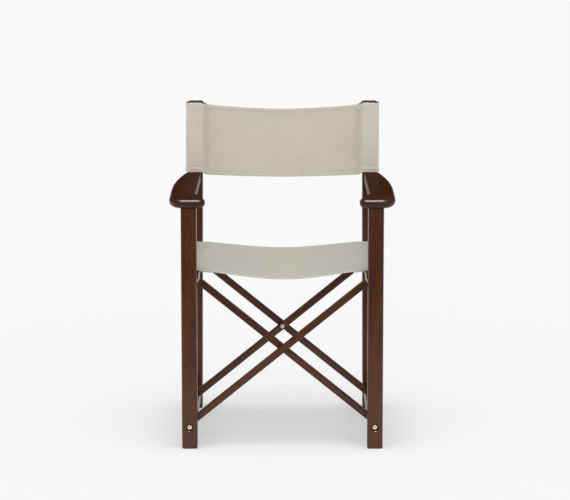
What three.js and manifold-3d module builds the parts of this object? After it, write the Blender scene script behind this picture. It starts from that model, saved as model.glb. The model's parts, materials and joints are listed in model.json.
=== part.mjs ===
// A folding director's chair: two upright side frames, two scissor frames that cross between them,
// and a canvas seat and back. Millimetres, +Z up, the front of the chair towards -Y.
// Depths are first measured from the front face of the front legs; the whole chair is then moved so
// that its origin is at the centre of its footprint, on the floor.
import * as THREE from 'three';
import { mergeVertices } from 'three/addons/utils/BufferGeometryUtils.js';
import Module from 'manifold-3d';

const wasm = await Module();
wasm.setup();

// ---------------------------------------------------------------- driving dimensions
const GAP = 0.3;                  // clearance left between touching pieces
const SIDES = { left: -1, right: 1 };

const LEG = 41;                   // side of the square legs and posts
const LEG_ROUND = 5.5;            // radius of their long edges
const FOOT_ROUND = 4.5;           // radius round the foot and the post's top
const HALF_SPACING = 246;         // from the middle of the chair to the middle of a leg
const POST_Y = 455;               // front face of the rear posts
const POST_TOP = 870;
const POST_LEAN = 0.0062;         // how far the sling draws the posts in, per unit of height

const ARM_BOTTOM = 648;
const ARM_THICK = 25.5;
const ARM_ROUND = 11.5;           // edge radius of the nose and the outer side
const ARM_INNER_ROUND = 3;        // edge radius of the straight inner side
const NOSE_Y = -10;               // front of the armrest
const ARM_INNER = { rear: 226.5, notch: 230.5, lobe: 202.5 };   // distances from the middle of the chair
const ARM_OUTER = { rear: 273, widest: 298 };
const ARM_NOTCH_Y = 100;          // where the straight inner side turns in towards the lobe
const ARM_NARROWING_Y = 190;      // where the outer side starts to curve in
const ARM_STRIP_WIDTH = 21;       // the part of the inner side that has the small edge radius

const PIVOT_Z = 58;               // pivots of the scissor frames, in the legs
const CROSS_Z = 259;              // crossing of the bars
const RAIL_RADIUS = 19;           // lower rails
const SEAT_RAIL_RADIUS = 21.5;
const RAIL_SIDES = 40;            // facets of the rails and of the sleeves round them
const RAIL_END = 2.5;             // from a leg's face to the rail's end, filled by a washer
const CROSS_TO_SEAT_RAIL = 312.7; // along the bar, crossing to the middle of the seat rail

const BAR_FACE = 17;              // width of a bar, seen from the front
const BAR_DEPTH = 22;
const BAR_ROUND = 2.5;
const BAR_GAP = 2;                // between the two bars of a pair, filled by a washer
const FRONT_PAIR_Y = 45;          // front faces of the two pairs of bars
const REAR_PAIR_Y = 348;
const TENON = { radius: 5, fromAxis: 8, intoBar: 4 };   // `fromAxis` is where it ends inside the rail

const CANVAS_TUBE = 1.6;          // wall of the seat's sleeves
const SEAT_SAG = 24;
const SEAT_THICK = 2.2;
const SEAT_HALF_WIDTH = 226.5;     // where the seat leaves its sleeves
const SLEEVE_WALL = 4.5;          // the back's sleeves stand a little off the posts
const SLEEVE_BOTTOM = 674;
const SLEEVE_TOP = 867;
const BACK_THICK = 3;
const BACK_EDGE = { top: 861, bottom: 664 };   // at the sleeves
const BACK_MIDDLE = { top: 848.5, bottom: 657.5 };

const PIVOT_BOLT = { shank: 4, head: 6.8, headHeight: 4.5, recess: 9.5, recessDepth: 8, reach: 26 };
const CROSS_BOLT = { shank: 3, head: 6.4, headHeight: 3.6, recess: 7.4, recessDepth: 5, reach: 15 };
const ARM_BOLT = { shank: 3, head: 5.6, headHeight: 3.6, recess: 7, recessDepth: 6, reach: 34 };
const INSERT_WALL = 1.7;
const RAIL_SCREW = { shank: 2.2, head: 4.6, headHeight: 3.5, recess: 5, offset: 11, reach: 32 };
const DOWEL = { radius: 5, inLeg: 25, inArm: 14 };
const PIVOT_WASHER_RADIUS = 13;
const CROSS_WASHER_RADIUS = 8;

// ---------------------------------------------------------------- worked out from them
const barAngle = Math.atan2(CROSS_Z - PIVOT_Z, HALF_SPACING);
const pivotToCross = Math.hypot(HALF_SPACING, CROSS_Z - PIVOT_Z);
const railFrontY = LEG + RAIL_END;
const railBackY = POST_Y - RAIL_END;
const postBackY = POST_Y + LEG;
const sleeveOuter = SEAT_RAIL_RADIUS + GAP + CANVAS_TUBE;
const seatRailX = CROSS_TO_SEAT_RAIL * Math.cos(barAngle);
const seatRailZ = CROSS_Z + CROSS_TO_SEAT_RAIL * Math.sin(barAngle);
const seatTop = seatRailZ + sleeveOuter;
const originY = (NOSE_Y + postBackY + SLEEVE_WALL) / 2;
const pairStep = BAR_DEPTH + BAR_GAP;
const postX = (z) => HALF_SPACING - POST_LEAN * z;
const armMiddleZ = ARM_BOTTOM + ARM_THICK / 2;

// ---------------------------------------------------------------- materials
const material = (color, roughness, metalness = 0) =>
  new THREE.MeshStandardMaterial({ color, roughness, metalness });
const wood = material(0x4a2a1c, 0.3);
const canvas = material(0xccc5b4, 0.9);
const seatCanvas = material(0xbfbdae, 0.9);
const brass = material(0xd9b878, 0.3, 1);
const steel = material(0x8e9093, 0.4, 1);
const nylon = material(0xd8d4c8, 0.6);

// ---------------------------------------------------------------- solids
// A closed three.js geometry as a solid that can be cut.
function solid(geometry) {
  const bare = geometry.clone();
  bare.deleteAttribute('normal');
  bare.deleteAttribute('uv');
  const merged = mergeVertices(bare, 1e-4);
  return new wasm.Manifold(new wasm.Mesh({
    numProp: 3,
    vertProperties: new Float32Array(merged.attributes.position.array),
    triVerts: new Uint32Array(merged.index.array),
  }));
}

function geometryOf(shape) {
  const mesh = shape.getMesh();
  const geometry = new THREE.BufferGeometry();
  geometry.setAttribute('position', new THREE.BufferAttribute(mesh.vertProperties, 3));
  geometry.setIndex(new THREE.BufferAttribute(mesh.triVerts, 1));
  return geometry;
}

// A round bar from y0 to y1 along Y, through (x, z).
function rod(radius, y0, y1, x = 0, z = 0, sides = 24) {
  const cylinder = new THREE.CylinderGeometry(radius, radius, y1 - y0, sides);
  return solid(cylinder.translate(x, (y0 + y1) / 2, z));
}

// A round bar from x0 to x1 along X, at depth y.
function rodAlongX(radius, x0, x1, y, sides = 16) {
  const cylinder = new THREE.CylinderGeometry(radius, radius, x1 - x0, sides).rotateZ(Math.PI / 2);
  return solid(cylinder.translate((x0 + x1) / 2, y, 0));
}

// A round bar from z0 to z1 along Z.
function rodAlongZ(radius, z0, z1, x, y, sides = 20) {
  const cylinder = new THREE.CylinderGeometry(radius, radius, z1 - z0, sides).rotateX(Math.PI / 2);
  return solid(cylinder.translate(x, y, (z0 + z1) / 2));
}

function block(x0, x1, y0, y1, z0, z1) {
  const box = new THREE.BoxGeometry(x1 - x0, y1 - y0, z1 - z0);
  return solid(box.translate((x0 + x1) / 2, (y0 + y1) / 2, (z0 + z1) / 2));
}

function tube(inner, outer, y0, y1, x = 0, z = 0) {
  return rod(outer, y0, y1, x, z).subtract(rod(inner, y0 - 1, y1 + 1, x, z));
}

function roundedRectangle(width, height, radius) {
  const shape = new THREE.Shape();
  const x = width / 2 - radius;
  const y = height / 2 - radius;
  shape.absarc(x, y, radius, 0, Math.PI / 2);
  shape.absarc(-x, y, radius, Math.PI / 2, Math.PI);
  shape.absarc(-x, -y, radius, Math.PI, 1.5 * Math.PI);
  shape.absarc(x, -y, radius, 1.5 * Math.PI, 2 * Math.PI);
  shape.closePath();
  return shape;
}

// A slab of the outline from z0 to z1 with its edges rounded inside the outline.
function roundedSlab(outline, z0, z1, edge, segments, curveSegments) {
  const geometry = new THREE.ExtrudeGeometry(outline, {
    depth: z1 - z0 - 2 * edge,
    bevelEnabled: true,
    bevelThickness: edge,
    bevelSize: edge,
    bevelOffset: -edge,
    bevelSegments: segments,
    curveSegments,
  });
  return geometry.translate(0, 0, z0 + edge);
}

// A bolt along +Y whose domed head, with a hexagon socket, sits at y = 0 and whose shank ends at `length`.
function boltGeometry({ shank, head, headHeight }, length) {
  const steps = 4;
  const rim = headHeight * 0.45;
  const profile = [[0, -length], [shank, -length], [shank, 0], [head, 0]];
  for (let i = 0; i < steps; i += 1) {
    const turn = (i / steps) * (Math.PI / 2);
    profile.push([head * Math.cos(turn), rim + (headHeight - rim) * Math.sin(turn)]);
  }
  profile.push([0, headHeight]);
  const points = profile.map(([radius, height]) => new THREE.Vector2(radius, height));
  const body = solid(new THREE.LatheGeometry(points, 20));
  const socket = new THREE.CylinderGeometry(head * 0.4, head * 0.4, headHeight, 6);
  return body.subtract(solid(socket.translate(0, headHeight, 0))).rotate([180, 0, 0]);
}

// ---------------------------------------------------------------- the scene graph
const chair = new THREE.Group();
chair.position.y = -originY;

function place(parent, name, shape, finish) {
  const mesh = new THREE.Mesh(geometryOf(shape), finish);
  mesh.name = name;
  parent.add(mesh);
  return mesh;
}

// ---------------------------------------------------------------- side frames
// A square leg standing on the floor, its top cut off flat at `top` when `flatTop` is set.
function leg(x, y, top, flatTop, lean) {
  const outline = roundedRectangle(LEG, LEG, LEG_ROUND);
  const extra = flatTop ? 2 * FOOT_ROUND : 0;
  const geometry = roundedSlab(outline, 0, top + extra, FOOT_ROUND, 2, 5);
  geometry.translate(x, y + LEG / 2, 0);
  geometry.applyMatrix4(new THREE.Matrix4().set(1, 0, lean, 0, 0, 1, 0, 0, 0, 0, 1, 0, 0, 0, 0, 1));
  const whole = solid(geometry);
  return flatTop ? whole.subtract(block(x - LEG, x + LEG, y - LEG, y + 2 * LEG, top, top + LEG)) : whole;
}

// The hole for a bolt whose head is let into the face at y, the shank running towards `inward`.
function boltHole({ shank, recess, recessDepth }, x, y, z, inward, depth) {
  const run = (radius, length) => {
    const ends = [y - inward, y + inward * length].sort((a, b) => a - b);
    return rod(radius, ends[0], ends[1], x, z);
  };
  return run(shank + GAP, depth).add(run(recess, recessDepth));
}

function frontLeg(side) {
  const x = side * HALF_SPACING;
  return leg(x, 0, ARM_BOTTOM - GAP, true, 0)
    .subtract(boltHole(PIVOT_BOLT, x, 0, PIVOT_Z, 1, LEG + 1))
    .subtract(rodAlongZ(DOWEL.radius + GAP, ARM_BOTTOM - DOWEL.inLeg - 1, ARM_BOTTOM + 1, x, LEG / 2));
}

function rearPost(side) {
  const armX = side * postX(armMiddleZ);
  return leg(side * HALF_SPACING, POST_Y, POST_TOP, false, -side * POST_LEAN)
    .subtract(boltHole(PIVOT_BOLT, side * HALF_SPACING, postBackY, PIVOT_Z, -1, LEG + 1))
    .subtract(boltHole(ARM_BOLT, armX, postBackY, armMiddleZ, -1, LEG + 1));
}

// Plan of an armrest: a lobe reaching inwards over the front leg, then a straight inner side and an
// outer side that curves in towards the post. `back` is where it ends.
function armOutline(side, back) {
  const { rear, notch, lobe } = ARM_INNER;
  const { widest } = ARM_OUTER;
  const slope = (widest - ARM_OUTER.rear) / ((POST_Y - ARM_NARROWING_Y) / 2);
  const end = ARM_OUTER.rear - slope * (back - POST_Y);
  const shape = new THREE.Shape();
  shape.moveTo(side * rear, back);
  shape.lineTo(side * notch, ARM_NOTCH_Y);
  shape.quadraticCurveTo(side * (notch + 0.5), ARM_NOTCH_Y - 12, side * (notch - 5), ARM_NOTCH_Y - 22);
  shape.lineTo(side * (lobe + 7), NOSE_Y + 40);
  shape.bezierCurveTo(side * (lobe + 3), NOSE_Y + 30, side * lobe, NOSE_Y + 29, side * lobe, NOSE_Y + 23);
  shape.bezierCurveTo(side * lobe, NOSE_Y + 9, side * (lobe + 10), NOSE_Y, side * (lobe + 24), NOSE_Y);
  shape.lineTo(side * (widest - 36), NOSE_Y);
  shape.bezierCurveTo(side * (widest - 16), NOSE_Y, side * widest, NOSE_Y + 20, side * widest, NOSE_Y + 65);
  shape.lineTo(side * widest, ARM_NARROWING_Y);
  shape.quadraticCurveTo(side * widest, (ARM_NARROWING_Y + POST_Y) / 2, side * ARM_OUTER.rear, POST_Y);
  shape.lineTo(side * end, back);
  shape.closePath();
  return shape;
}

// The straight inner side of an armrest, which has a much smaller edge radius than the rest.
function armInnerStrip(side, back) {
  const { rear, notch } = ARM_INNER;
  const shape = new THREE.Shape();
  shape.moveTo(side * rear, back);
  shape.lineTo(side * notch, ARM_NOTCH_Y);
  shape.lineTo(side * (notch + ARM_STRIP_WIDTH), ARM_NOTCH_Y);
  shape.lineTo(side * (notch + ARM_STRIP_WIDTH), back);
  shape.closePath();
  return shape;
}

function armrest(side) {
  const past = POST_Y + 2 * ARM_ROUND;
  const z1 = ARM_BOTTOM + ARM_THICK;
  const body = solid(roundedSlab(armOutline(side, past), ARM_BOTTOM, z1, ARM_ROUND, 6, 10));
  const strip = solid(roundedSlab(armInnerStrip(side, past), ARM_BOTTOM, z1, ARM_INNER_ROUND, 3, 2));
  const dowelX = side * HALF_SPACING;
  const boltX = side * postX(armMiddleZ);
  return body.add(strip)
    .subtract(block(-400, 400, POST_Y - GAP, POST_Y + 100, 0, POST_TOP))
    .subtract(rodAlongZ(DOWEL.radius + GAP, ARM_BOTTOM - 1, ARM_BOTTOM + DOWEL.inArm + 1, dowelX, LEG / 2))
    .subtract(rod(ARM_BOLT.shank + GAP, POST_Y - ARM_BOLT.reach - 1, POST_Y + 1, boltX, armMiddleZ));
}

// A bolt along Y with the underside of its head at y, the shank running towards `inward`.
function bolt(size, length, x, y, z, inward) {
  const shape = boltGeometry(size, length);
  return (inward > 0 ? shape : shape.rotate([0, 0, 180])).translate([x, y, z]);
}

function pivotBolt(x, faceY, inward) {
  const seat = faceY + inward * (PIVOT_BOLT.recessDepth - GAP);
  const length = LEG + RAIL_END + PIVOT_BOLT.reach - PIVOT_BOLT.recessDepth;
  return bolt(PIVOT_BOLT, length, x, seat, PIVOT_Z, inward);
}

function pivotWasher(x, y0) {
  return tube(PIVOT_BOLT.shank + 2 * GAP, PIVOT_WASHER_RADIUS, y0 + GAP, y0 + RAIL_END - GAP, x, PIVOT_Z);
}

// The canvas sleeve round a rear post, drawn in with it.
function backSleeve(side) {
  const outline = roundedRectangle(LEG + 2 * SLEEVE_WALL, LEG + 2 * SLEEVE_WALL, LEG_ROUND + SLEEVE_WALL);
  outline.holes.push(roundedRectangle(LEG + 2 * GAP, LEG + 2 * GAP, LEG_ROUND + GAP));
  const height = SLEEVE_TOP - SLEEVE_BOTTOM;
  const wall = { depth: height, bevelEnabled: false, curveSegments: 6 };
  const geometry = new THREE.ExtrudeGeometry(outline, wall);
  geometry.translate(side * HALF_SPACING, POST_Y + LEG / 2, SLEEVE_BOTTOM);
  geometry.applyMatrix4(
    new THREE.Matrix4().set(1, 0, -side * POST_LEAN, 0, 0, 1, 0, 0, 0, 0, 1, 0, 0, 0, 0, 1),
  );
  return solid(geometry);
}

// The canvas back between its sleeves: its top and bottom edges both hang in a shallow curve.
function backPanel() {
  const halfWidth = postX(SLEEVE_TOP) - LEG / 2 - SLEEVE_WALL - GAP;
  const dip = (edge, middle) => 2 * middle - edge;
  const shape = new THREE.Shape();
  shape.moveTo(-halfWidth, BACK_EDGE.bottom);
  shape.quadraticCurveTo(0, dip(BACK_EDGE.bottom, BACK_MIDDLE.bottom), halfWidth, BACK_EDGE.bottom);
  shape.lineTo(halfWidth, BACK_EDGE.top);
  shape.quadraticCurveTo(0, dip(BACK_EDGE.top, BACK_MIDDLE.top), -halfWidth, BACK_EDGE.top);
  shape.closePath();
  const slab = { depth: BACK_THICK, bevelEnabled: false, curveSegments: 20 };
  const geometry = new THREE.ExtrudeGeometry(shape, slab);
  geometry.rotateX(Math.PI / 2).translate(0, POST_Y + LEG / 2 + BACK_THICK / 2, 0);
  return solid(geometry);
}

for (const [name, side] of Object.entries(SIDES)) {
  const frame = new THREE.Group();
  chair.add(frame);
  const x = side * HALF_SPACING;
  place(frame, `${name}_front_leg`, frontLeg(side), wood);
  place(frame, `${name}_rear_post`, rearPost(side), wood);
  place(frame, `${name}_armrest`, armrest(side), wood);
  place(frame, `${name}_arm_dowel`,
    rodAlongZ(DOWEL.radius, ARM_BOTTOM - DOWEL.inLeg, ARM_BOTTOM + DOWEL.inArm, x, LEG / 2), wood);
  const armBoltLength = LEG - ARM_BOLT.recessDepth + ARM_BOLT.reach;
  const armBoltSeat = postBackY - ARM_BOLT.recessDepth + GAP;
  place(frame, `${name}_arm_bolt`,
    bolt(ARM_BOLT, armBoltLength, side * postX(armMiddleZ), armBoltSeat, armMiddleZ, -1), brass);
  place(frame, `${name}_front_pivot_bolt`, pivotBolt(x, 0, 1), brass);
  place(frame, `${name}_rear_pivot_bolt`, pivotBolt(x, postBackY, -1), brass);
  place(frame, `${name}_front_pivot_washer`, pivotWasher(x, LEG), nylon);
  place(frame, `${name}_rear_pivot_washer`, pivotWasher(x, POST_Y - RAIL_END), nylon);
  place(frame, `${name}_back_sleeve`, backSleeve(side), canvas);
}
place(chair, 'back_panel', backPanel(), canvas);

// ---------------------------------------------------------------- scissor frames
// Each scissor frame is a rigid rectangle: a lower rail, two bars and a seat rail. It is drawn with the
// bars along X, from the lower rail at -X to the seat rail at +X, and the crossing at the origin.

// A bar with a tenon in its lower rail, a square upper end and the crossing bolt's hole.
function bar(y0, crossingHole) {
  const lower = -pivotToCross + RAIL_RADIUS + GAP;
  const upper = CROSS_TO_SEAT_RAIL - sleeveOuter - GAP;
  const outline = roundedRectangle(BAR_FACE, BAR_DEPTH, BAR_ROUND);
  const length = upper - lower + RAIL_RADIUS;
  const stick = { depth: length, bevelEnabled: false, curveSegments: 4 };
  const geometry = new THREE.ExtrudeGeometry(outline, stick);
  geometry.rotateY(Math.PI / 2).translate(upper - length, y0 + BAR_DEPTH / 2, 0);
  const middle = y0 + BAR_DEPTH / 2;
  const tenon = rodAlongX(TENON.radius, -pivotToCross + TENON.fromAxis, lower + TENON.intoBar, middle);
  return solid(geometry)
    .subtract(rod(RAIL_RADIUS + GAP, y0 - 1, y0 + BAR_DEPTH + 1, -pivotToCross, 0, RAIL_SIDES))
    .add(tenon)
    .subtract(rodAlongX(RAIL_SCREW.shank + GAP, upper - RAIL_SCREW.reach - 1, upper + 1, middle))
    .subtract(crossingHole);
}

// The bolt that joins a pair of bars. Its head is let into the back of the front pair and into the
// front of the rear pair, and it ends in a threaded insert inside the other bar.
function crossingParts(pairY) {
  const facing = pairY === FRONT_PAIR_Y ? -1 : 1;
  const headFace = facing > 0 ? pairY : pairY + pairStep + BAR_DEPTH;
  const insertFace = facing > 0 ? pairY + pairStep : pairY + BAR_DEPTH;
  const outer = CROSS_BOLT.shank + GAP + INSERT_WALL;
  const span = (radius, from, depth) => {
    const ends = [from, from + facing * depth].sort((a, b) => a - b);
    return rod(radius, ends[0], ends[1]);
  };
  const insert = span(outer, insertFace + facing * GAP, CROSS_BOLT.reach)
    .subtract(span(CROSS_BOLT.shank + GAP, insertFace - facing, CROSS_BOLT.reach + 3));
  return {
    headHole: boltHole(CROSS_BOLT, 0, headFace, 0, facing, BAR_DEPTH + 1),
    insertHole: span(outer + GAP, insertFace - facing, CROSS_BOLT.reach + 2),
    insert,
    bolt: bolt(CROSS_BOLT, BAR_DEPTH + BAR_GAP - CROSS_BOLT.recessDepth + CROSS_BOLT.reach,
      0, headFace + facing * (CROSS_BOLT.recessDepth - GAP), 0, facing),
    washer: tube(
      CROSS_BOLT.shank + 2 * GAP, CROSS_WASHER_RADIUS, pairY + BAR_DEPTH + GAP, pairY + pairStep - GAP,
    ),
  };
}

function lowerRail(barMiddles) {
  const inner = PIVOT_BOLT.shank + GAP + INSERT_WALL + GAP;
  const depth = PIVOT_BOLT.reach + 4;
  let rail = rod(RAIL_RADIUS, railFrontY, railBackY, -pivotToCross, 0, RAIL_SIDES)
    .subtract(rod(inner, railFrontY - 1, railFrontY + depth, -pivotToCross, 0))
    .subtract(rod(inner, railBackY - depth, railBackY + 1, -pivotToCross, 0));
  for (const y of barMiddles) {
    const socketEnd = -pivotToCross + TENON.fromAxis - 0.5;
    rail = rail.subtract(rodAlongX(TENON.radius + GAP, socketEnd, -pivotToCross + RAIL_RADIUS + 5, y));
  }
  return rail;
}

function pivotInsert(y0, y1) {
  const outer = PIVOT_BOLT.shank + GAP + INSERT_WALL;
  return tube(PIVOT_BOLT.shank + GAP, outer, y0, y1, -pivotToCross, 0);
}

const headSeat = CROSS_TO_SEAT_RAIL + RAIL_SCREW.offset;

function seatRail(barMiddles) {
  let rail = rod(SEAT_RAIL_RADIUS, railFrontY, railBackY, CROSS_TO_SEAT_RAIL, 0, RAIL_SIDES);
  for (const y of barMiddles) {
    rail = rail
      .subtract(rodAlongX(RAIL_SCREW.shank + GAP, CROSS_TO_SEAT_RAIL - 40, headSeat + 1, y))
      .subtract(rodAlongX(RAIL_SCREW.recess, headSeat, CROSS_TO_SEAT_RAIL + 40, y));
  }
  return rail;
}

function seatSleeve(barMiddles) {
  let sleeve = rod(sleeveOuter, railFrontY + 1, railBackY - 1, CROSS_TO_SEAT_RAIL, 0, RAIL_SIDES)
    .subtract(rod(SEAT_RAIL_RADIUS + GAP, railFrontY, railBackY, CROSS_TO_SEAT_RAIL, 0, RAIL_SIDES));
  for (const y of barMiddles) {
    sleeve = sleeve
      .subtract(rodAlongX(RAIL_SCREW.shank + GAP, CROSS_TO_SEAT_RAIL - 40, CROSS_TO_SEAT_RAIL, y))
      .subtract(rodAlongX(RAIL_SCREW.recess, CROSS_TO_SEAT_RAIL, CROSS_TO_SEAT_RAIL + 40, y));
  }
  return sleeve;
}

// A screw from inside the seat rail into the end of a bar.
function railScrew(y) {
  const tip = CROSS_TO_SEAT_RAIL - sleeveOuter - GAP - RAIL_SCREW.reach;
  return rodAlongX(RAIL_SCREW.shank, tip, headSeat + GAP + 1, y)
    .add(rodAlongX(RAIL_SCREW.head, headSeat + GAP, headSeat + GAP + RAIL_SCREW.headHeight, y));
}

const crossings = { front: crossingParts(FRONT_PAIR_Y), rear: crossingParts(REAR_PAIR_Y) };
const pairs = { front: FRONT_PAIR_Y, rear: REAR_PAIR_Y };

// The rising frame runs from the left lower rail to the right seat rail, its bars in front of the
// falling frame's, which run the other way.
const scissors = [
  { bars: 'rising', lower: 'left', upper: 'right', turn: -barAngle, layer: 0, bolted: 'rear' },
  {
    bars: 'falling', lower: 'right', upper: 'left', turn: barAngle - Math.PI, layer: pairStep,
    bolted: 'front',
  },
];

for (const { bars, lower, upper, turn, layer, bolted } of scissors) {
  const frame = new THREE.Group();
  frame.position.z = CROSS_Z;
  frame.rotation.y = turn;
  chair.add(frame);
  const middles = Object.values(pairs).map((y) => y + layer + BAR_DEPTH / 2);
  for (const [end, y] of Object.entries(pairs)) {
    const hole = end === bolted ? crossings[end].headHole : crossings[end].insertHole;
    place(frame, `${end}_${bars}_bar`, bar(y + layer, hole), wood);
    place(frame, `${end}_${bars}_rail_screw`, railScrew(y + layer + BAR_DEPTH / 2), steel);
    if (end !== bolted) {
      place(frame, `${end}_crossing_insert`, crossings[end].insert, brass);
      place(frame, `${end}_crossing_bolt`, crossings[end].bolt, brass);
      place(frame, `${end}_crossing_washer`, crossings[end].washer, nylon);
    }
  }
  place(frame, `${lower}_lower_rail`, lowerRail(middles), wood);
  const reach = PIVOT_BOLT.reach + 2;
  place(frame, `${lower}_front_pivot_insert`, pivotInsert(railFrontY + GAP, railFrontY + reach), brass);
  place(frame, `${lower}_rear_pivot_insert`, pivotInsert(railBackY - reach, railBackY - GAP), brass);
  place(frame, `${upper}_seat_rail`, seatRail(middles), wood);
  place(frame, `${upper}_seat_sleeve`, seatSleeve(middles), canvas);
}

// ---------------------------------------------------------------- seat
// The canvas seat between its sleeves, hanging in a shallow curve.
function seatPanel() {
  const steps = 32;
  const height = (x) => seatTop - SEAT_SAG * (1 - (x / seatRailX) ** 2);
  const shape = new THREE.Shape();
  const xs = Array.from({ length: steps + 1 }, (_, i) => SEAT_HALF_WIDTH * (2 * i / steps - 1));
  xs.forEach((x, i) => (i ? shape.lineTo(x, height(x)) : shape.moveTo(x, height(x))));
  xs.reverse().forEach((x) => shape.lineTo(x, height(x) - SEAT_THICK));
  shape.closePath();
  const depth = railBackY - railFrontY - 2;
  const geometry = new THREE.ExtrudeGeometry(shape, { depth, bevelEnabled: false });
  geometry.rotateX(Math.PI / 2).translate(0, railBackY - 1, 0);
  return solid(geometry);
}
place(chair, 'seat_panel', seatPanel(), seatCanvas);

export default chair;
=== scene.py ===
"""A director's chair: a lacquered walnut frame with a canvas seat and a canvas back.

Lengths are in metres, in the frame of the CAD model: X to the right, Y to the back, Z up.
"""

import bisect
import functools
import json
import math
import random

import bmesh
import bpy
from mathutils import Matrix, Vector, noise


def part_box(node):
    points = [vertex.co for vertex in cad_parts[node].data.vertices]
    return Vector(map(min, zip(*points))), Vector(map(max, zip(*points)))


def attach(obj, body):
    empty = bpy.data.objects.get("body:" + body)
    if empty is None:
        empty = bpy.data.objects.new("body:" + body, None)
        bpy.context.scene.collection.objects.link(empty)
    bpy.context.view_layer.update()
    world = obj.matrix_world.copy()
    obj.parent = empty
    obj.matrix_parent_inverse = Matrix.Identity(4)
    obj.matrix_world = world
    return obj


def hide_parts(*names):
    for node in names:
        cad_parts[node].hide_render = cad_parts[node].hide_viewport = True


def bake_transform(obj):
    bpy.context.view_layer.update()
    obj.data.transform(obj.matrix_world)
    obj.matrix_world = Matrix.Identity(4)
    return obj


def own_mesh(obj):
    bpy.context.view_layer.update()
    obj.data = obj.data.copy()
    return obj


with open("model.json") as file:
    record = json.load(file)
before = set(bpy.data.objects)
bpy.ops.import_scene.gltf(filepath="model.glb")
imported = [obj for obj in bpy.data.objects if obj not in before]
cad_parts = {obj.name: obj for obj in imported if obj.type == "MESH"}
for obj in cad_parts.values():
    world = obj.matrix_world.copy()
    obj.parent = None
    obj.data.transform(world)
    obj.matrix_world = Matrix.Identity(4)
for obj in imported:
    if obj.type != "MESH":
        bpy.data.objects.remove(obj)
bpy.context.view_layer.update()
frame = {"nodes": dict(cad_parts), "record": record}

# -------------------- sizes that the frame doesn't say
LEG_ROUND = 0.0055       # long edges of the legs and posts
FOOT_ROUND = 0.0045      # their ends
BAR_WIDTH = 0.017
BAR_ROUND = 0.0025
BAR_END_EASE = 0.0008
RAIL_EASE = 0.0015
ARM_ROUND = 0.0115       # nose and outer side of an armrest
ARM_INNER_ROUND = 0.003  # its straight inner side
ARM_SLANT_ROUND = (0.004, 0.010)    # the slant between them, at its rear and front ends
ARM_UNDER = {"across": 1.3, "high": 1.1}    # how much larger its lower edges are rounded
ARM_INNER = {"rear": 0.2265, "notch": 0.2305}
ARM_REAR_X = 0.273       # outer side of an armrest where it meets its post
ARM_NOTCH = 0.100        # depth where the straight inner side turns in to the lobe
ARM_NARROWING = 0.190    # depth where the outer side starts to curve in
ROUND_STEPS = 8          # facets to a quarter turn on a rounded edge
HARDWARE_SMOOTH = 40     # degrees between faces, above which an edge is sharp
CLOTH_SMOOTH = 50

# Recess that a bolt's head sits in, and the bolt's own head and shank.
PIVOT_BOLT = {"recess": 0.0095, "deep": 0.008, "head": 0.0045, "shank": 0.004}
CROSS_BOLT = {"recess": 0.0074, "deep": 0.005, "head": 0.0036, "shank": 0.003}
ARM_BOLT = {"recess": 0.007, "deep": 0.006, "head": 0.0036, "shank": 0.003}
INSERT_BORE = {"radius": 0.0066, "deep": 0.030}
# Shares of a head's radius: its flat top and its socket. Shares of its height: its dome, its
# cylinder and its socket.
BOLT_HEAD = {"flat": 0.50, "socket": 0.40, "dome": 0.55, "side": 0.94, "socket_deep": 0.65}
CUT_START = 0.002        # how far outside a face its cutters start

CANVAS = 0.0012          # thickness of the canvas
HEM = 0.013              # width of a hem
HEM_LAYER = 0.0010       # what the turned-in layer of a hem adds behind
LAYER_EDGE = 0.0008      # width of the slope at that layer's edge
HEM_PUFF = 0.0004        # how far a hem swells in front
SEAM_DIMPLE = {"deep": 0.00035, "wide": 0.0010}     # where the stitches draw it in
HEM_SEAM = HEM - 0.0022  # from a hemmed edge to the row of stitches along it
STITCH_PITCH = 0.0036
THREAD_RADIUS = 0.00034
SHEET_PITCH = 0.007      # between the points of a sheet
SEAM_PITCH = 0.008       # between the points that a row of stitches runs through, across a sheet
HEM_PITCH = 0.012        # and along a hem
SEAM_END = 0.003         # from the end of a row of the back's stitches to the cloth's edge or seam
LOOP_CLEARANCE = 0.0004  # between a rail and the canvas round it
SEAT_SAG = {"front": 0.0252, "middle": 0.0215, "rear": 0.0182}
SAG_FADE = {"front": 0.24, "rear": 0.22}    # share of the depth over which each end's sag fades
SEAT_DROOP = 0.0026      # how far its front edge turns down, over the width of the hem
SEAT_FLARE = 0.6         # how much the seat levels out towards its rails
SEAT_ALLOWANCE = 0.028   # of the seat's ends, sewn down under it
LOOP_FADE = 0.006        # width of the change from loop to sheet
SEAT_TUCK = 0.006        # of each loop's ends, turned in over the end of its rail
TUCK_FADE = 0.05         # how far in the cloth is stretched to make up for the tuck
SEAT_TURN = 0.0045       # radius at which the allowance turns into the loop
SEAT_UNDER = 0.0015      # from the seat down to the allowance, middle to middle
SECTION_PITCH = 0.006    # between the points of the seat's section
SEAT_SEAMS = (0.010, 0.018)     # from a loop to the two rows of stitches through the allowance
WAVE_FADE = {"rail": 0.05, "seam": 0.045}   # how far from a rail or a seam its waves fade
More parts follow.
